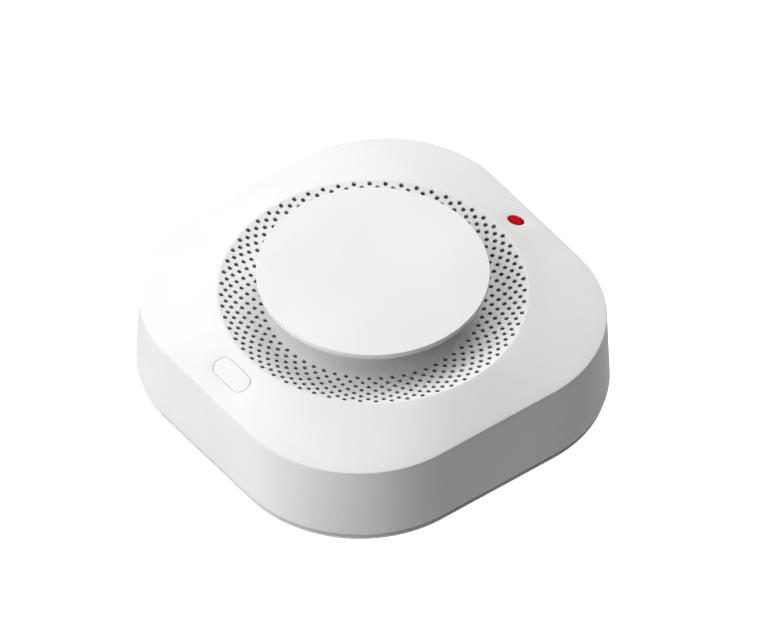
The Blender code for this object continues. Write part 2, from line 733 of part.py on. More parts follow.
def chamber():
    base_top = PARTS_Z + CHAMBER_BASE
    roof_top = FLOOR_Z - DISH_THICK - GAP
    roof_low = roof_top - CHAMBER_ROOF
    base = [(0, base_top), (CHAMBER_RADIUS, base_top), (CHAMBER_RADIUS, PARTS_Z), (0, PARTS_Z)]
    turned("chamber_base", base, finish(BLACK, 0.7), steps=2 * ROUND_STEPS)

    roof = [(0, roof_top), (CHAMBER_RADIUS, roof_top), (CHAMBER_RADIUS, roof_low), (0, roof_low)]
    hood = turned("labyrinth_hood", roof, finish(BLACK, 0.7), steps=2 * ROUND_STEPS)
    boolean(hood, labyrinth_vanes(base_top + GAP, roof_low + CHAMBER_ROOF / 2), "UNION")

    outer = CHAMBER_RADIUS - GAP
    inner = outer - SCREEN_THICK
    low, high = base_top + GAP, roof_low - GAP
    ring = [(outer, high), (outer, low), (inner, low), (inner, high)]
    screen = turned("insect_screen", ring, finish(STEEL, 0.4, 1.0), steps=2 * SCREEN_WINDOWS, ring=True)
    boolean(screen, screen_windows(low, high))

    for name, angle in OPTIC_ANGLES.items():
        optic(name, math.radians(angle), base_top + GAP + OPTIC_RADIUS)


def labyrinth_vanes(low, high):
    """Slanting black plates that let smoke in and keep light out."""
    bm = bmesh.new()
    for i in range(VANE_COUNT):
        made = bmesh.ops.create_cube(bm, size=1.0)
        bmesh.ops.scale(bm, vec=(VANE_LENGTH, VANE_THICK, high - low), verts=made["verts"])
        tilt = Matrix.Rotation(math.radians(VANE_TILT), 3, "Z")
        bmesh.ops.rotate(bm, matrix=tilt, verts=made["verts"])
        bmesh.ops.translate(bm, vec=(VANE_RADIUS, 0, (low + high) / 2), verts=made["verts"])
        turn = Matrix.Rotation(2 * math.pi * i / VANE_COUNT, 3, "Z")
        bmesh.ops.rotate(bm, matrix=turn, verts=made["verts"])
    return add_object("labyrinth_vanes", mesh_from(bm, "labyrinth_vanes"))


def screen_windows(low, high):
    """Windows that stand for the fine mesh; pairs face each other across the chamber."""
    bm = bmesh.new()
    width = math.pi * CHAMBER_RADIUS / SCREEN_WINDOWS
    frame = (high - low) / 8
    for i in range(SCREEN_WINDOWS // 2):
        made = bmesh.ops.create_cube(bm, size=1.0)
        size = (3 * CHAMBER_RADIUS, width, high - low - 2 * frame)
        bmesh.ops.scale(bm, vec=size, verts=made["verts"])
        bmesh.ops.translate(bm, vec=(0, 0, (low + high) / 2), verts=made["verts"])
        turn = Matrix.Rotation(2 * math.pi * i / SCREEN_WINDOWS, 3, "Z")
        bmesh.ops.rotate(bm, matrix=turn, verts=made["verts"])
    return add_object("screen_windows", mesh_from(bm, "screen_windows"))


def optic(name, angle, height):
    """A lens-ended optical part, lying on the chamber's base and facing its middle."""
    dome = [
        (OPTIC_RADIUS * math.sin(t), OPTIC_LENGTH - OPTIC_RADIUS + OPTIC_RADIUS * math.cos(t))
        for t in (math.radians(a) for a in (0, 30, 60, 90))
    ]
    obj = turned(name, dome + [(OPTIC_RADIUS, 0), (0, 0)], finish(SMOKED, 0.2), steps=SMALL_STEPS)
    reach = OPTIC_FROM_CENTRE + OPTIC_LENGTH / 2
    obj.location = (reach * math.cos(angle), reach * math.sin(angle), height)
    obj.rotation_euler = (0, -math.pi / 2, angle)


# Batteries and their contacts


def battery(number, side):
    """One cell in its pocket, with a contact at each end, a spring at its flat end and two leads."""
    y = side * CELL_Y
    tip = CONTACT_X - CONTACT_THICK / 2 - GAP
    profile = [
        (0, tip),
        (NUB_RADIUS, tip),
        (NUB_RADIUS, tip - NUB_LENGTH),
        (CELL_RADIUS, tip - NUB_LENGTH),
        (CELL_RADIUS, tip - CELL_LENGTH),
        (0, tip - CELL_LENGTH),
    ]
    cell = turned(f"battery_cell_{number}", profile, finish(BLUE, 0.35), (0, y), SMALL_STEPS)
    cell.location.z = CELL_Z
    cell.rotation_euler = (0, side * math.pi / 2, 0)
    battery_contact("plus", number, side, y)
    battery_contact("minus", number, -side, y)
    battery_lead(f"battery_lead_plus_{number}", RED, side, side)
    battery_lead(f"battery_lead_minus_{number}", BLACK, -side, side)

    start = -(CONTACT_X - CONTACT_THICK / 2 - GAP - SPRING_WIRE)
    end = tip - CELL_LENGTH - GAP - SPRING_WIRE
    battery_spring(f"battery_spring_{number}", start, end, side, y)


def battery_contact(sign, number, end, y):
    """Plated square at one end of a pocket, with a tab that stands out of the pocket's roof."""
    size = (CONTACT_THICK, CONTACT_WIDTH, CONTACT_WIDTH)
    plated = finish(STEEL, 0.3, 1.0)
    contact = block(f"{sign}_contact_{number}", size, (end * CONTACT_X, y, CELL_Z), plated)
    tab_size = (CONTACT_THICK, TAB_WIDTH, ROOF_Z + TAB_RISE - CELL_Z)
    tab_z = (ROOF_Z + TAB_RISE + CELL_Z) / 2
    boolean(contact, block(f"{sign}_tab_{number}", tab_size, (end * CONTACT_X, y, tab_z)), "UNION")


def battery_lead(name, colour, end, side):
    """Insulated lead from a contact's tab, over the pocket's edge, down to the board."""
    start = Vector((end * CONTACT_X, side * (CELL_Y - TAB_WIDTH / 2 - GAP), ROOF_Z + GAP + LEAD_RADIUS))
    finish_point = Vector((end * LEAD_BOARD_X, side * LEAD_BOARD_Y, PARTS_Z))
    over = Vector((start.x, finish_point.y, start.z + LEAD_HUMP))
    above = Vector((finish_point.x, finish_point.y, ROOF_Z - LEAD_BELOW_ROOF))
    points = interpolate_bezier(start, over, above, finish_point, WIRE_POINTS)
    wire(name, points, LEAD_RADIUS, finish(colour, 0.5))


def wire(name, points, radius, material):
    """A round wire along a line of points."""
    curve = bpy.data.curves.new(name, "CURVE")
    curve.dimensions = "3D"
    curve.bevel_depth = radius
    curve.bevel_resolution = 1
    curve.use_fill_caps = True
    curve.materials.append(material)
    spline = curve.splines.new("POLY")
    spline.points.add(len(points) - 1)
    for place, point in zip(spline.points, points):
        place.co = (*point, 1)
    PARTS.objects.link(bpy.data.objects.new(name, curve))


def battery_spring(name, start, end, side, y):
    """Conical wire spring between the contact and the cell's flat end."""
    steps = 12 * SPRING_TURNS
    points = []
    for i in range(steps + 1):
        share = i / steps
        turn = 2 * math.pi * SPRING_TURNS * share
        radius = SPRING_BIG + (SPRING_SMALL - SPRING_BIG) * share
        x = side * (start + (end - start) * share)
        points.append((x, y + radius * math.cos(turn), CELL_Z + radius * math.sin(turn)))
    wire(name, points, SPRING_WIRE, finish(STEEL, 0.3, 1.0))


def main():
    front_cover()
    inlet_gauze()
    cover_cap()
    rear_cover()
    mounting_plate()
    housing_screws()
    tact_switch(test_button())
    lamp()
    main_board()
    board_components()
    sounder()
    chamber()
    battery(1, 1)
    battery(2, -1)


main()
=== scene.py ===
# Square smoke alarm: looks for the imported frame, seen from above on a white sweep
import bmesh
import bpy
import json
import math
from mathutils import Matrix, Vector


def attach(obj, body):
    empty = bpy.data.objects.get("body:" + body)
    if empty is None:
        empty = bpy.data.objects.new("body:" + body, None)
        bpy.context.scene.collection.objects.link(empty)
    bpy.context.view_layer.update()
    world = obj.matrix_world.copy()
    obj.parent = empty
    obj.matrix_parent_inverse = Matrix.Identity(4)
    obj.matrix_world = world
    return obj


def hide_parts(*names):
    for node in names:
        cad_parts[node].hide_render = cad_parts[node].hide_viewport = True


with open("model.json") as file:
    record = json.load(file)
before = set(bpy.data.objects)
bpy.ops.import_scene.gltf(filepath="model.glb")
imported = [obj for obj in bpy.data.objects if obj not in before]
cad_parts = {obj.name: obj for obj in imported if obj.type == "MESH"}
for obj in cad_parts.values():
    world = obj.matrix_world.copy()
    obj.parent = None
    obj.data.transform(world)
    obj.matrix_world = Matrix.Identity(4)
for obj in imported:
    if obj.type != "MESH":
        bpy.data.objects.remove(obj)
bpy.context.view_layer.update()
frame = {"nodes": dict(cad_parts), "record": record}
nodes = frame["nodes"]
mm = 0.001
seam = 0.0005 * mm  # points nearer than this are one point
quarterMiddle = 0.3  # how far in and down the middle of a small rounded edge lies, as a share of its size
print("frame loaded:", len(nodes), "CAD nodes")


# mesh tools: sizes are in mm until a point is made

def newPiece(name, bm, body, node=None, sharp=35.0):
    # merges the seams, turns the faces outwards and puts the piece on its body
    bmesh.ops.remove_doubles(bm, verts=bm.verts, dist=seam)
    bmesh.ops.recalc_face_normals(bm, faces=bm.faces)
    mesh = bpy.data.meshes.new(name)
    bm.to_mesh(mesh)
    bm.free()
    mesh.shade_smooth()
    mesh.set_sharp_from_angle(angle=math.radians(sharp))
    piece = bpy.data.objects.new(name, mesh)
    bpy.context.scene.collection.objects.link(piece)
    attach(piece, body)
    if node:
        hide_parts(node)
    return piece


def polar(r, a, z):
    return Vector((r * math.cos(a), r * math.sin(a), z)) * mm


def ringOf(bm, points):
    # a closed chain of edges through the points
    verts = [bm.verts.new(p) for p in points]
    return [bm.edges.new(pair) for pair in zip(verts, verts[1:] + verts[:1])]


def skin(bm, rows):
    # bridges each closed row of points to the next and gives back the first and last rings
    # level rows would be joined the wrong way round, so all rows start stacked
    apart = Vector((0, 0, 10)) * mm
    rings = [ringOf(bm, [p + apart * i for p in row]) for i, row in enumerate(rows)]
    for a, b in zip(rings, rings[1:]):
        bmesh.ops.bridge_loops(bm, edges=a + b)
    for ring, row in zip(rings, rows):
        for edge, p in zip(ring, row):
            edge.verts[0].co = p
    return rings[0], rings[-1]


def lid(bm, ring):
    bmesh.ops.contextual_create(bm, geom=ring)


def turn(bm, profile, steps):
    # spins a line of (radius, height) once round the middle
    verts = [bm.verts.new(Vector((r, 0, z)) * mm) for r, z in profile]
    edges = [bm.edges.new(pair) for pair in zip(verts, verts[1:])]
    bmesh.ops.spin(bm, geom=verts + edges, cent=(0, 0, 0), axis=(0, 0, 1), angle=2 * math.pi,
                   steps=steps, use_merge=True)


def arcLine(middle, radius, start, end, steps):
    # (radius, height) points along an arc, angles in degrees
    spread = [math.radians(start + (end - start) * i / steps) for i in range(steps + 1)]
    return [(middle[0] + radius * math.cos(a), middle[1] + radius * math.sin(a)) for a in spread]


# front cover: a rounded square that lofts up to a round rim, with a perforated dish and a neck

cover = {
    "topHalf": 42.5, "topCorner": 28.0, "draft": 0.6,
    "footZ": 1.7, "edgeZ": 19.37, "rimRadius": 32.2, "rimZ": 23.6,
    "wall": 1.8, "slopeThick": 1.95, "edgeRound": 0.2, "rimRound": 0.3, "footRound": 0.3,
    "dishArc": 42.3, "floorRadius": 18.8, "dishThick": 1.4,
    "neckRadius": 16.5, "neckRise": 2.7, "neckTop": 28.1, "neckEdge": 0.15,
    "around": 240, "slopeBands": 8, "wallBands": 6, "floorBands": 3, "neckSteps": 8, "roundSteps": 4,
    "topWindow": (33.7, 41.2), "underWindow": (33.3, 39.95), "windowReach": 0.3, "holeRound": 0.05,
    "flangeDrop": 0.3,  # from the sloping top's inner face to a flange under it
}
pores = {
    "rings": 8, "perRing": 60, "radius": 0.5, "sides": 16,
    "outer": 31.31, "firstGap": 0.885, "gapGrowth": 0.094, "margin": 0.53, "innerMargin": 0.72,
    "sway": 0.13,  # how far the line between two rings of holes weaves round them
    "depth": 0.36,  # the perforated band is thinner than the rest of the dish
}
button = {
    "x": -36.6, "width": 4.0, "length": 10.05, "gap": 0.12, "round": 0.12, "crown": 0.04,
    "window": 12.0, "points": 44, "flangeGrow": 0.8, "flangeThick": 1.0,
    "stemX": -35.3, "stemRadius": 1.5, "stemLength": 1.2,
    "bends": (25, 50, 75, 90), "crownShares": (0.35, 0.65, 0.9),
}
lamp = {
    "x": 37.0, "radius": 1.70, "gap": 0.08, "dome": 0.04, "window": 6.0, "points": 28,
    "flangeGrow": 0.8, "flangeThick": 0.8, "lowZ": 12.7, "round": 0.12,
    "domeShares": (0.93, 0.75, 0.5, 0.25, 0.06),
    # the second red, and the share of the radius where it starts, make the painted shade round the lens's rim
    "bright": (0.65, 0.0, 0.001), "deep": (0.24, 0.002, 0.006), "rimShadeFrom": 0.4,
}


def reach(half, corner, angle):
    # how far a rounded square stretches from its middle
    angle = angle % (math.pi / 2)
    angle = min(angle, math.pi / 2 - angle)
    straight = half - corner
    if half * math.tan(angle) <= straight:
        return half / math.cos(angle)
    along = straight * (math.cos(angle) + math.sin(angle))
    return along + math.sqrt(along ** 2 - 2 * straight ** 2 + corner ** 2)


def angles():
    return [2 * math.pi * i / cover["around"] for i in range(cover["around"])]


def squareRow(half, corner, z):
    return [polar(reach(half, corner, a), a, z) for a in angles()]


def roundRow(radius, z):
    return [polar(radius, a, z) for a in angles()]


def slopeZ(x, y):
    # height of the sloping top over a point
    far = reach(cover["topHalf"], cover["topCorner"], math.atan2(y, x))
    share = (far - math.hypot(x, y)) / (far - cover["rimRadius"])
    return cover["edgeZ"] + (cover["rimZ"] - cover["edgeZ"]) * share


def innerEdgeZ():
    rise = (cover["rimZ"] - cover["edgeZ"]) / (cover["topHalf"] - cover["rimRadius"])
    return cover["edgeZ"] + rise * cover["wall"] - cover["slopeThick"]


def underZ(x, y):
    # height of the sloping top's inner face
    far = reach(cover["topHalf"] - cover["wall"], cover["topCorner"] - cover["wall"], math.atan2(y, x))
    share = (far - math.hypot(x, y)) / (far - cover["rimRadius"])
    low = innerEdgeZ()
    return low + (cover["rimZ"] - cover["slopeThick"] - low) * share


def dishZ(r):
    # circular arc, lowest at the floor radius, that meets the rim
    def sag(reached):
        return cover["dishArc"] - math.sqrt(cover["dishArc"] ** 2 - (reached - cover["floorRadius"]) ** 2)
    return cover["rimZ"] - sag(cover["rimRadius"]) + sag(r)


def roundedRows(before, corner, after):
    # rounds an edge: a parabola from one row to another that leans towards the corner row
    rows = []
    for i in range(cover["roundSteps"] + 1):
        t = i / cover["roundSteps"]
        rows.append([a * (1 - t) ** 2 + c * 2 * t * (1 - t) + b * t ** 2
                     for a, c, b in zip(before, corner, after)])
    return rows


def movedRow(row, towards, distance):
    return [p + (q - p).normalized() * distance * mm for p, q in zip(row, towards)]


def rowsBetween(a, b, count):
    return [[p.lerp(q, i / count) for p, q in zip(a, b)] for i in range(1, count)]


def poreRings():
    radii = [pores["outer"]]
    for i in range(pores["rings"] - 1):
        radii.append(radii[-1] - pores["firstGap"] - pores["gapGrowth"] * i)
    return radii


def poreBands(radii):
    middles = [(a + b) / 2 for a, b in zip(radii, radii[1:])]
    return [radii[0] + pores["margin"]] + middles + [radii[-1] - pores["innerMargin"]]


def poreCell(bm, ringRadius, low, high, lowSway, highSway):
    # one perforation with its share of the dish: upper skin, lower skin and the hole's wall
    half = math.pi / pores["perRing"]
    quarter = pores["sides"] // 4
    spread = [2 * i / quarter - 1 for i in range(quarter)]
    first, last = low + lowSway, high - highSway
    rise = [first + (last - first) * i / quarter for i in range(quarter)]
    edge = [(s * half, low - lowSway * math.cos(math.pi * s)) for s in spread]
    edge += [(half, r) for r in rise]
    edge += [(-s * half, high + highSway * math.cos(math.pi * s)) for s in spread]
    edge += [(-half, first + last - r) for r in rise]
    start = math.pi * 1.25  # both outlines start at the same corner
    hole = []
    for i in range(pores["sides"]):
        a = 2 * math.pi * i / pores["sides"] + start
        hole.append((pores["radius"] * math.cos(a) / ringRadius, ringRadius + pores["radius"] * math.sin(a)))
    rings = []
    for drop in (0, pores["depth"]):
        for line in (edge, hole):
            rings.append(ringOf(bm, [polar(r, a, dishZ(r) - drop) for a, r in line]))
    topEdge, topHole, lowEdge, lowHole = rings
    for a, b in ((topEdge, topHole), (lowEdge, lowHole), (topHole, lowHole)):
        bmesh.ops.bridge_loops(bm, edges=a + b)


def addPores(bm, radii, bands):
    steps = pores["perRing"] - 1
    step = 2 * math.pi / pores["perRing"]
    for i, radius in enumerate(radii):
        lowSway = pores["sway"] if i < len(radii) - 1 else 0
        highSway = pores["sway"] if i else 0
        cell = bmesh.new()
        poreCell(cell, radius, bands[i + 1], bands[i], lowSway, highSway)
        shift = Matrix.Rotation(step / 2 * (i % 2), 3, "Z")
        bmesh.ops.rotate(cell, verts=cell.verts, cent=(0, 0, 0), matrix=shift)
        bmesh.ops.spin(cell, geom=cell.verts[:] + cell.edges[:] + cell.faces[:], cent=(0, 0, 0),
                       axis=(0, 0, 1), angle=step * steps, steps=steps, use_duplicate=True)
        ring = bpy.data.meshes.new("poreRing")
        cell.to_mesh(ring)
        cell.free()
        bm.from_mesh(ring)
        bpy.data.meshes.remove(ring)


def neckRows(inner):
    # from the innermost perforations down to the floor of the dish, up the neck and back underneath
    floor, bands = cover["floorRadius"], cover["floorBands"]
    neck, rise, steps = cover["neckRadius"], cover["neckRise"], cover["neckSteps"]
    top, edge, thick = cover["neckTop"], cover["neckEdge"], cover["dishThick"]
    inward = [inner + (floor - inner) * i / bands for i in range(bands + 1)]
    upper = [(r, dishZ(r)) for r in inward]
    under = [(inner, dishZ(inner) - pores["depth"])] + [(r, dishZ(r) - thick) for r in inward]
    fall = floor - neck
    mid = dishZ(floor) + rise
    for i in range(1, steps + 1):
        t = math.radians(90 * i / steps)
        upper.append((floor - fall * math.sin(t), mid - rise * math.cos(t)))
        under.append((floor - (fall + thick) * math.sin(t), mid - (rise + thick) * math.cos(t)))
    upper += [(neck, top - edge), (neck - edge, top)]
    under += [(neck - thick, top - edge), (neck - thick + edge, top)]
    return [roundRow(r, z) for r, z in upper + under[::-1]]


def casingRows(outer):
    # from the outermost perforations over the rim, down the slope and wall, and back inside
    half, corner, draft, wall = cover["topHalf"], cover["topCorner"], cover["draft"], cover["wall"]
    rim = roundRow(cover["rimRadius"], cover["rimZ"])
    edge = squareRow(half, corner, cover["edgeZ"])
    foot = squareRow(half + draft, corner + draft, cover["footZ"])
    innerFoot = squareRow(half + draft - wall, corner + draft - wall, cover["footZ"])
    innerEdge = squareRow(half - wall, corner - wall, innerEdgeZ())
    innerRim = roundRow(cover["rimRadius"], cover["rimZ"] - cover["slopeThick"])
    dishEnd = cover["rimRadius"] - cover["rimRound"]
    slopeTop = movedRow(rim, edge, cover["rimRound"])
    slopeEnd = movedRow(edge, rim, cover["edgeRound"])
    wallTop = movedRow(edge, foot, cover["edgeRound"])
    wallEnd = movedRow(foot, edge, cover["footRound"])
    footIn = movedRow(foot, innerFoot, cover["footRound"])
    rows = [roundRow(outer, dishZ(outer))]
    rows += roundedRows(roundRow(dishEnd, dishZ(dishEnd)), rim, slopeTop)
    rows += rowsBetween(slopeTop, slopeEnd, cover["slopeBands"])
    rows += roundedRows(slopeEnd, edge, wallTop)
    rows += rowsBetween(wallTop, wallEnd, cover["wallBands"])
    rows += roundedRows(wallEnd, foot, footIn)
    rows += [innerFoot, innerEdge]
    rows += rowsBetween(innerEdge, innerRim, cover["slopeBands"])
    rows.append(innerRim)
    rows += [roundRow(outer, dishZ(outer) - drop) for drop in (cover["dishThick"], pores["depth"])]
    return rows


def cutWindow(bm, surface, span, middle, halfAngle):
    # takes faces of the sloping top out round an angle and gives back the edge that is left open
    gone = []
    for f in bm.faces:
        c = f.calc_center_median() / mm
        away = (math.degrees(math.atan2(c.y, c.x)) - middle + 180) % 360 - 180
        if abs(away) < halfAngle and span[0] < math.hypot(c.x, c.y) < span[1]:
            if abs(c.z - surface(c.x, c.y)) < cover["windowReach"]:
                gone.append(f)
    taken = set(gone)
    rim = [e for e in bm.edges if sum(f in taken for f in e.link_faces) == 1]
    bmesh.ops.delete(bm, geom=gone, context="FACES")
    return rim


def addOpening(bm, outline, gap, middle, halfAngle):
    # a hole through the sloping top, its upper edge slightly rounded
    top = cutWindow(bm, slopeZ, cover["topWindow"], middle, halfAngle)
    under = cutWindow(bm, underZ, cover["underWindow"], middle, halfAngle)
    soft = cover["holeRound"]
    bend = soft * quarterMiddle
    lines = [(gap + soft, slopeZ, 0), (gap + bend, slopeZ, bend), (gap, slopeZ, soft), (gap, underZ, 0)]
    rows = []
    for grow, surface, drop in lines:
        rows.append([Vector((x, y, surface(x, y) - drop)) * mm for x, y in outline(grow)])
    first, last = skin(bm, rows)
    bmesh.ops.bridge_loops(bm, edges=top + first)
    bmesh.ops.bridge_loops(bm, edges=under + last)


def pillOutline(grow, count):
    # evenly spaced points round a pill that lies along Y
    w = button["width"] / 2 + grow
    s = button["length"] - button["width"]
    bend = math.pi * w
    points = []
    for i in range(count):
        d = (i + 0.5) * (2 * s + 2 * bend) / count
        if d < s:
            p = (w, d - s / 2)
        elif d < s + bend:
            p = (w * math.cos((d - s) / w), s / 2 + w * math.sin((d - s) / w))
        elif d < 2 * s + bend:
            p = (-w, s / 2 - (d - s - bend))
        else:
            a = (d - 2 * s - bend) / w
            p = (-w * math.cos(a), -s / 2 - w * math.sin(a))
        points.append((button["x"] + p[0], p[1]))
    return points


def discOutline(radius, count, x):
    spread = [2 * math.pi * (i + 0.5) / count for i in range(count)]
    return [(x + radius * math.cos(a), radius * math.sin(a)) for a in spread]


def makeFrontCover():
    bm = bmesh.new()
    radii = poreRings()
    bands = poreBands(radii)
    addPores(bm, radii, bands)
    skin(bm, casingRows(bands[0]))
    skin(bm, neckRows(bands[-1]))
    bmesh.ops.remove_doubles(bm, verts=bm.verts, dist=seam)

    def pill(grow):
        return pillOutline(grow, button["points"])

    def disc(grow):
        return discOutline(lamp["radius"] + grow, lamp["points"], lamp["x"])
    addOpening(bm, pill, button["gap"], 180, button["window"])
    addOpening(bm, disc, lamp["gap"], 0, lamp["window"])
    return newPiece("frontCover", bm, "head", "front_cover")


frontCover = makeFrontCover()
print("front cover:", len(frontCover.data.polygons), "faces")

# inlet gauze: a ring that lies in the recess under the perforated band

gauze = {"inner": 22.55, "outer": 31.7, "gap": 0.02, "thick": 0.25, "bands": 12, "steps": 180}


def makeGauze():
    width = gauze["outer"] - gauze["inner"]
    across = [gauze["inner"] + width * i / gauze["bands"] for i in range(gauze["bands"] + 1)]
    high = pores["depth"] + gauze["gap"]
    line = [(r, dishZ(r) - high) for r in across]
    line += [(r, dishZ(r) - high - gauze["thick"]) for r in across[::-1]]
    bm = bmesh.new()
    turn(bm, line + line[:1], gauze["steps"])
    return newPiece("inletGauze", bm, "head", "inlet_gauze")


inletGauze = makeGauze()
print("gauze:", len(inletGauze.data.polygons), "faces")

# cover cap: a plain disc with a spigot

cap = {
    "radius": 24.16, "top": 29.6, "edge": 1.2, "round": 0.15, "lowRound": 0.15,
    "spigot": 14.8, "spigotDrop": 3.0, "skin": 1.2, "middleRing": 12.08,
    "steps": 240, "roundSteps": 6, "lowSteps": 4,
}


def makeCap():
    top, low = cap["top"], cap["top"] - cap["edge"]
    high, soft = (cap["radius"] - cap["round"], top - cap["round"]), cap["lowRound"]
    bore, foot = cap["spigot"] - cap["skin"], low - cap["spigotDrop"]
    line = [(0, top), (cap["middleRing"], top)]
    line += arcLine(high, cap["round"], 90, 0, cap["roundSteps"])
    line += arcLine((cap["radius"] - soft, low + soft), soft, 0, -90, cap["lowSteps"])
    line += [(cap["spigot"], low), (cap["spigot"], foot), (bore, foot), (bore, low), (0, low)]
    bm = bmesh.new()
    turn(bm, line, cap["steps"])
    return newPiece("coverCap", bm, "head", "cover_cap")


coverCap = makeCap()
print("cap:", len(coverCap.data.polygons), "faces")


# test button and lamp lens: tops that lie in the sloping top

def onSlope(outline, above=0.0):
    return [Vector((x, y, slopeZ(x, y) + above)) * mm for x, y in outline]


def level(outline, z):
    return [Vector((x, y, z)) * mm for x, y in outline]


def flangeTop(outerX):
    return slopeZ(outerX, 0) - cover["slopeThick"] - cover["flangeDrop"]


def makeButton():
    count = button["points"] * 2
    grow, soft, crown = button["flangeGrow"], button["round"], button["crown"]
    high = flangeTop(button["x"] - button["width"] / 2 - grow)
    low = high - button["flangeThick"]
    stem = discOutline(button["stemRadius"], count, button["stemX"])
    rows = [level(stem, low - button["stemLength"]), level(stem, low)]
    rows += [level(pillOutline(grow, count), low), level(pillOutline(grow, count), high)]
    rows += [level(pillOutline(0, count), high), onSlope(pillOutline(0, count), -soft)]
    for a in button["bends"]:
        t = math.radians(a)
        rows.append(onSlope(pillOutline(-soft * (1 - math.cos(t)), count), -soft + soft * math.sin(t)))
    rest = button["width"] / 2 - soft
    for share in button["crownShares"]:
        rows.append(onSlope(pillOutline(-soft - rest * share, count), crown * math.sin(share * math.pi / 2)))
    bm = bmesh.new()
    first, last = skin(bm, rows)
    lid(bm, first)
    lid(bm, last)
    return newPiece("testButton", bm, "button", "test_button")


def makeLens():
    count, radius, soft, foot = lamp["points"] * 2, lamp["radius"], lamp["round"], lamp["lowZ"]
    bend = soft * quarterMiddle
    high = flangeTop(lamp["x"] + radius + lamp["flangeGrow"])
    low = high - lamp["flangeThick"]

    def disc(r):
        return discOutline(r, count, lamp["x"])
    rows = [level(disc(radius - soft), foot), level(disc(radius), foot + soft), level(disc(radius), low)]
    rows += [level(disc(radius + lamp["flangeGrow"]), z) for z in (low, high)]
    rows += [level(disc(radius), high), onSlope(disc(radius), -soft), onSlope(disc(radius - bend), -bend)]
    for share in lamp["domeShares"]:
        rows.append(onSlope(disc(radius * share), lamp["dome"] * (1 - share ** 2)))
    bm = bmesh.new()
    first, last = skin(bm, rows)
    lid(bm, first)
    lid(bm, last)
    return newPiece("lampLens", bm, "head", "lamp_lens")


testButton = makeButton()
lampLens = makeLens()
print("button and lens made")

# mounting plate: flat moulding with two sunk screw slots, a cable knock-out and four bayonet hooks

plate = {
    "half": 42.6, "corner": 28.1, "thick": 1.4, "edge": 0.1, "bandTop": 0.55, "stepIn": 0.9,
    "slotX": 22.0, "slotLength": 11.0, "slotWidth": 4.0, "slotEdge": 0.2, "slotPoints": 32,
    "sinkGrow": 1.6, "sinkDeep": 0.4,
    "knockout": (9.6, 10.3), "knockoutDeep": 0.6, "knockoutDraft": 0.15, "knockoutPoints": 72,
    "pins": ((31, 15), (31, -15), (-31, 15), (-31, -15), (13, 31), (-13, 31), (13, -31), (-13, -31)),
    "pinRadius": 1.7, "pinDeep": 0.15, "pinPoints": 24,
    "hookStarts": (22.0, -8.0, 202.0, 172.0), "hookPost": 6.0, "hookLip": 11.0,
    "hookInner": 33.0, "hookOuter": 35.0, "hookLow": 4.0, "hookTop": 4.9, "postSteps": 3, "lipSteps": 5,
}


def slotRow(side, grow, z):
    w = plate["slotWidth"] / 2 + grow
    s = (plate["slotLength"] - plate["slotWidth"]) / 2
    points = []
    for i in range(plate["slotPoints"]):
        a = 2 * math.pi * (i + 0.5) / plate["slotPoints"]
        shift = s if math.cos(a) > 0 else -s
        points.append(Vector((side * plate["slotX"] + shift + w * math.cos(a), w * math.sin(a), z)) * mm)
    return points


def circleRow(x, y, radius, z, count):
    middle = Vector((x, y, 0)) * mm
    return [middle + polar(radius, 2 * math.pi * i / count, z) for i in range(count)]


def addScrewSlot(bm, side):
    # sunk round the screw head, and softened where it comes out on the other face
    soft, sink, deep, thick = plate["slotEdge"], plate["sinkGrow"], plate["sinkDeep"], plate["thick"]
    line = [(sink, 0), (sink - soft, deep), (soft, deep), (0, deep + soft), (0, thick - soft), (soft, thick)]
    return skin(bm, [slotRow(side, grow, z) for grow, z in line])


def addKnockout(bm):
    # a thin ring in the back, where a cable hole can be broken out
    inner, outer = plate["knockout"]
    deep, draft = plate["knockoutDeep"], plate["knockoutDraft"]
    line = [(inner, 0), (inner + draft, deep), (outer - draft, deep), (outer, 0)]
    first, last = skin(bm, [circleRow(0, 0, r, z, plate["knockoutPoints"]) for r, z in line])
    return first + last


def addPinMark(bm, x, y):
    # the shallow print of an ejector pin
    rows = [circleRow(x, y, plate["pinRadius"], z, plate["pinPoints"]) for z in (0, plate["pinDeep"])]
    first, last = skin(bm, rows)
    lid(bm, last)
    return first


def makePlate():
    half, corner, thick, edge = plate["half"], plate["corner"], plate["thick"], plate["edge"]
    band, back = plate["bandTop"], plate["stepIn"]
    line = [(edge, 0), (0, edge), (0, band - edge), (edge, band), (back, band + edge), (back, thick)]
    bm = bmesh.new()
    rear, front = skin(bm, [squareRow(half - inset, corner - inset, z) for inset, z in line])
    for side in (1, -1):
        low, high = addScrewSlot(bm, side)
        rear += low
        front += high
    rear += addKnockout(bm)
    for x, y in plate["pins"]:
        rear += addPinMark(bm, x, y)
    for ring in (rear, front):
        bmesh.ops.triangle_fill(bm, edges=ring, use_beauty=True, normal=(0, 0, 1))
    return newPiece("mountingPlate", bm, "mount", "mounting_plate")


def makeHook(number, start):
    # an L seen from the side, as deep as the ring between its two radii
    end, low, top = start + plate["hookPost"], plate["hookLow"], plate["hookTop"]
    posts, lips = plate["postSteps"], plate["lipSteps"]
    post = [start + plate["hookPost"] * i / posts for i in range(posts + 1)]
    lip = [end + plate["hookLip"] * i / lips for i in range(lips + 1)]
    line = [(a, plate["thick"]) for a in post] + [(a, low) for a in lip]
    line += [(a, top) for a in lip[::-1] + post[-2::-1]]
    bm = bmesh.new()
    rows = [[polar(r, math.radians(a), z) for a, z in line] for r in (plate["hookInner"], plate["hookOuter"])]
    first, last = skin(bm, rows)
    lid(bm, first)
    lid(bm, last)
    return newPiece(f"bayonetHook{number}", bm, "mount")


mountingPlate = makePlate()
hooks = [makeHook(i + 1, start) for i, start in enumerate(plate["hookStarts"])]
print("mounting plate and", len(hooks), "hooks made")


# finishes

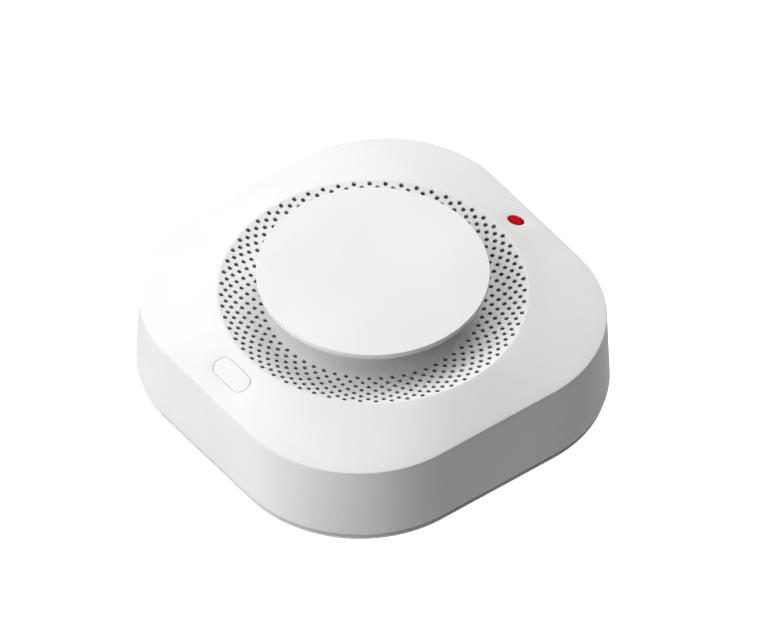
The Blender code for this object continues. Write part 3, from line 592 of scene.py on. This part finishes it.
def newFinish(name):
    material = bpy.data.materials.new(name)
    material.use_nodes = True
    tree = material.node_tree
    tree.nodes.clear()
    out = tree.nodes.new("ShaderNodeOutputMaterial")
    shader = tree.nodes.new("ShaderNodeBsdfPrincipled")
    tree.links.new(shader.outputs["BSDF"], out.inputs["Surface"])
    place = tree.nodes.new("ShaderNodeTexCoord")
    return material, tree, shader, place.outputs["Object"]


def addNoise(tree, place, scale, detail=2.0, roughness=0.5):
    noise = tree.nodes.new("ShaderNodeTexNoise")
    noise.inputs["Scale"].default_value = scale
    noise.inputs["Detail"].default_value = detail
    noise.inputs["Roughness"].default_value = roughness
    tree.links.new(place, noise.inputs["Vector"])
    return noise.outputs["Fac"]


def addRamp(tree, value, low, high, start=0.35, end=0.65):
    ramp = tree.nodes.new("ShaderNodeValToRGB")
    ramp.color_ramp.elements[0].position = start
    ramp.color_ramp.elements[1].position = end
    ramp.color_ramp.elements[0].color = (*low, 1)
    ramp.color_ramp.elements[1].color = (*high, 1)
    tree.links.new(value, ramp.inputs["Fac"])
    return ramp.outputs["Color"]


def addRange(tree, value, low, high):
    # most of a noise texture lies between 0.3 and 0.7
    spread = tree.nodes.new("ShaderNodeMapRange")
    spread.inputs["From Min"].default_value = 0.3
    spread.inputs["From Max"].default_value = 0.7
    spread.inputs["To Min"].default_value = low
    spread.inputs["To Max"].default_value = high
    tree.links.new(value, spread.inputs["Value"])
    return spread.outputs["Result"]


def addBump(tree, shader, height, strength, distance):
    bump = tree.nodes.new("ShaderNodeBump")
    bump.inputs["Strength"].default_value = strength
    bump.inputs["Distance"].default_value = distance
    tree.links.new(height, bump.inputs["Height"])
    tree.links.new(bump.outputs["Normal"], shader.inputs["Normal"])


def addVectorMath(tree, operation, first, second):
    node = tree.nodes.new("ShaderNodeVectorMath")
    node.operation = operation
    tree.links.new(first, node.inputs[0])
    node.inputs[1].default_value = second
    return node.outputs


def mouldedPlastic(name, low, high, rough=(0.42, 0.52), grain=3200, specular=0.4):
    # spark-eroded mould finish: fine grain, with slow drifts of tone and gloss
    material, tree, shader, place = newFinish(name)
    slow = addNoise(tree, place, scale=45)
    fine = addNoise(tree, place, scale=grain, detail=3, roughness=0.6)
    tree.links.new(addRamp(tree, slow, low, high), shader.inputs["Base Color"])
    tree.links.new(addRange(tree, fine, *rough), shader.inputs["Roughness"])
    shader.inputs["Specular IOR Level"].default_value = specular
    addBump(tree, shader, fine, strength=0.35, distance=0.006 * mm)
    return material


def clearRed(name):
    # the lens's own red in the middle; the darker red towards the rim is painted shade
    material, tree, shader, place = newFinish(name)
    cloud = addNoise(tree, place, scale=700)
    flat = addVectorMath(tree, "MULTIPLY", place, (1, 1, 0))["Vector"]
    away = addVectorMath(tree, "DISTANCE", flat, (lamp["x"] * mm, 0, 0))["Value"]
    share = tree.nodes.new("ShaderNodeMath")
    share.operation = "DIVIDE"
    share.inputs[1].default_value = lamp["radius"] * mm
    tree.links.new(away, share.inputs[0])
    # painted shade: the red darkens from that share of the radius out to the rim
    red = addRamp(tree, share.outputs["Value"], lamp["bright"], lamp["deep"], lamp["rimShadeFrom"], 1.0)
    tree.links.new(red, shader.inputs["Base Color"])
    tree.links.new(addRange(tree, cloud, 0.32, 0.4), shader.inputs["Roughness"])
    shader.inputs["Specular IOR Level"].default_value = 0.03
    return material


def wovenGauze(name):
    # crossed threads, a quarter of a millimetre apart
    material, tree, shader, place = newFinish(name)
    threads = []
    for direction in ("X", "Y"):
        wave = tree.nodes.new("ShaderNodeTexWave")
        wave.bands_direction = direction
        wave.inputs["Scale"].default_value = 1250
        tree.links.new(place, wave.inputs["Vector"])
        threads.append(wave.outputs["Fac"])
    weave = tree.nodes.new("ShaderNodeMath")
    weave.operation = "MAXIMUM"
    for thread, socket in zip(threads, weave.inputs):
        tree.links.new(thread, socket)
    shade = addRamp(tree, weave.outputs["Value"], (0.02, 0.02, 0.02), (0.1, 0.1, 0.1))
    tree.links.new(shade, shader.inputs["Base Color"])
    shader.inputs["Roughness"].default_value = 0.9
    shader.inputs["Specular IOR Level"].default_value = 0.15
    addBump(tree, shader, weave.outputs["Value"], strength=0.5, distance=0.05 * mm)
    return material


def metal(name, low, high, rough):
    # fine streaks, as drawing or rolling leaves them
    material, tree, shader, place = newFinish(name)
    stretch = tree.nodes.new("ShaderNodeMapping")
    stretch.inputs["Scale"].default_value = (1, 1, 8)
    tree.links.new(place, stretch.inputs["Vector"])
    streak = addNoise(tree, stretch.outputs["Vector"], scale=900, detail=3)
    tree.links.new(addRamp(tree, streak, low, high), shader.inputs["Base Color"])
    tree.links.new(addRange(tree, streak, *rough), shader.inputs["Roughness"])
    shader.inputs["Metallic"].default_value = 1.0
    addBump(tree, shader, streak, strength=0.2, distance=0.01 * mm)
    return material


matt = (0.55, 0.65)
finishes = {
    "casing_plastic": mouldedPlastic(
        "whiteCasing", (0.74, 0.74, 0.735), (0.77, 0.77, 0.765), matt, specular=0.15),
    "plate_plastic": mouldedPlastic(
        "whitePlate", (0.70, 0.70, 0.69), (0.74, 0.74, 0.73), matt, specular=0.15),
    "red_lens": clearRed("redLens"),
    "board_laminate": mouldedPlastic(
        "greenLaminate", (0.01, 0.09, 0.03), (0.02, 0.14, 0.05), (0.25, 0.35), grain=1500),
    "black_plastic": mouldedPlastic(
        "blackMoulding", (0.012, 0.012, 0.012), (0.022, 0.022, 0.022), (0.5, 0.62)),
    "black_gauze": wovenGauze("blackGauze"),
    "grey_plastic": mouldedPlastic("greyMoulding", (0.36, 0.36, 0.36), (0.44, 0.44, 0.44)),
    "plated_steel": metal("nickelPlate", (0.55, 0.54, 0.52), (0.68, 0.67, 0.65), (0.22, 0.38)),
    "smoked_lens": mouldedPlastic(
        "smokedEpoxy", (0.03, 0.018, 0.04), (0.05, 0.03, 0.06), (0.08, 0.16), grain=2000),
    "piezo_brass": metal("brassDisc", (0.62, 0.44, 0.16), (0.78, 0.58, 0.24), (0.22, 0.36)),
    "capacitor_can": mouldedPlastic(
        "blueSleeve", (0.02, 0.035, 0.12), (0.03, 0.05, 0.17), (0.25, 0.35)),
    "cell_jacket": metal("cellFilm", (0.06, 0.07, 0.09), (0.10, 0.115, 0.14), (0.3, 0.42)),
    "red_insulation": mouldedPlastic(
        "redInsulation", (0.42, 0.01, 0.01), (0.52, 0.02, 0.015), (0.4, 0.5)),
    "black_insulation": mouldedPlastic(
        "blackInsulation", (0.012, 0.012, 0.012), (0.025, 0.025, 0.025), (0.4, 0.5)),
}

# every shown piece and carried-over node takes the finish of its slot
slotOf = {row["node"]: row["material_slot"] for row in frame["record"]["subparts"]}
for node, obj in nodes.items():
    obj.data.materials.clear()
    obj.data.materials.append(finishes[slotOf[node]])
for piece in (frontCover, coverCap, testButton):
    piece.data.materials.append(finishes["casing_plastic"])
for piece in (mountingPlate, *hooks):
    piece.data.materials.append(finishes["plate_plastic"])
lampLens.data.materials.append(finishes["red_lens"])
inletGauze.data.materials.append(finishes["black_gauze"])
print("finishes set:", len(finishes))

# studio: white sweep, soft light from the left and the back, camera at the photograph's angle

studio = {
    "turn": 37.22, "tilt": 45.89, "pixelsPerMm": 4.8468, "width": 758, "right": 1.238, "up": 11.551,
    "distance": 600, "near": 10, "far": 10000,
    "floorHalf": 2000, "floorZ": -0.04, "floorTone": 0.9, "floorGlow": 1.0,
    "cardZ": -0.02, "cardTone": 0.0, "bounceGlow": 0.55, "toneDrift": 0.01, "air": 1.0,
    "lightDistance": 900, "lightSize": 600,
}
softboxes = {  # direction round and above the object in degrees, then watts
    "backLeft": (135, 50, 4.05), "backRight": (45, 50, 3.95), "right": (16, 50, 2.35),
    "lowLeft": (180, 8, 2.95), "sideLeft": (150, 28, 1.42), "frontLeft": (180, 28, 1.46),
    "highLeft": (180, 50, 0.76),
}


def addSheet(name, z, tone, glow):
    # a flat sheet under the object that gives off its own light
    bm = bmesh.new()
    bmesh.ops.create_grid(bm, x_segments=2, y_segments=2, size=studio["floorHalf"] * mm)
    bmesh.ops.translate(bm, vec=(0, 0, z * mm), verts=bm.verts)
    mesh = bpy.data.meshes.new(name)
    bm.to_mesh(mesh)
    bm.free()
    sheet = bpy.data.objects.new(name, mesh)
    bpy.context.scene.collection.objects.link(sheet)
    material, tree, shader, place = newFinish(name + "Paper")
    cloud = addNoise(tree, place, scale=3)
    paper = addRamp(tree, cloud, [tone] * 3, [tone + studio["toneDrift"]] * 3)
    tree.links.new(paper, shader.inputs["Base Color"])
    shader.inputs["Roughness"].default_value = 0.9
    shader.inputs["Emission Color"].default_value = (1, 1, 1, 1)
    shader.inputs["Emission Strength"].default_value = glow
    mesh.materials.append(material)
    return sheet


def addFloor():
    # the camera sees the bright floor, and the object is lit by a dimmer card just over it
    floor = addSheet("floor", studio["floorZ"], studio["floorTone"], studio["floorGlow"])
    floor.visible_diffuse = False
    floor.visible_glossy = False
    card = addSheet("bounceCard", studio["cardZ"], studio["cardTone"], studio["bounceGlow"])
    card.visible_camera = False
    card.visible_shadow = False


def addLight(name, azimuth, height, energy):
    # square softbox that faces the object
    a, e = math.radians(azimuth), math.radians(height)
    away = Vector((math.cos(a) * math.cos(e), math.sin(a) * math.cos(e), math.sin(e)))
    data = bpy.data.lights.new(name, "AREA")
    data.energy = energy
    data.size = studio["lightSize"] * mm
    light = bpy.data.objects.new(name, data)
    light.location = away * studio["lightDistance"] * mm
    light.rotation_euler = away.to_track_quat("Z", "Y").to_euler()
    bpy.context.scene.collection.objects.link(light)


def addCamera():
    a, e = math.radians(studio["turn"]), math.radians(studio["tilt"])
    right = Vector((math.cos(a), -math.sin(a), 0))
    up = Vector((math.sin(a) * math.sin(e), math.cos(a) * math.sin(e), math.cos(e)))
    back = right.cross(up)
    data = bpy.data.cameras.new("photoCamera")
    data.type = "ORTHO"
    data.ortho_scale = studio["width"] / studio["pixelsPerMm"] * mm
    data.clip_start, data.clip_end = studio["near"] * mm, studio["far"] * mm
    camera = bpy.data.objects.new("photoCamera", data)
    place = (right * studio["right"] + up * studio["up"] + back * studio["distance"]) * mm
    turned = Matrix((right, up, back)).transposed().to_4x4()
    camera.matrix_world = Matrix.Translation(place) @ turned
    bpy.context.scene.collection.objects.link(camera)
    bpy.context.scene.camera = camera


def addBackdrop():
    # white past the floor, and it gives the object no light
    world = bpy.data.worlds.new("studioAir")
    world.use_nodes = True
    backdrop = world.node_tree.nodes["Background"]
    backdrop.inputs["Color"].default_value = (1, 1, 1, 1)
    backdrop.inputs["Strength"].default_value = studio["air"]
    world.cycles_visibility.diffuse = False
    world.cycles_visibility.glossy = False
    bpy.context.scene.world = world


addFloor()
for name, box in softboxes.items():
    addLight(name, *box)
addCamera()
addBackdrop()
bpy.context.scene.view_settings.view_transform = "Standard"
print("studio set")
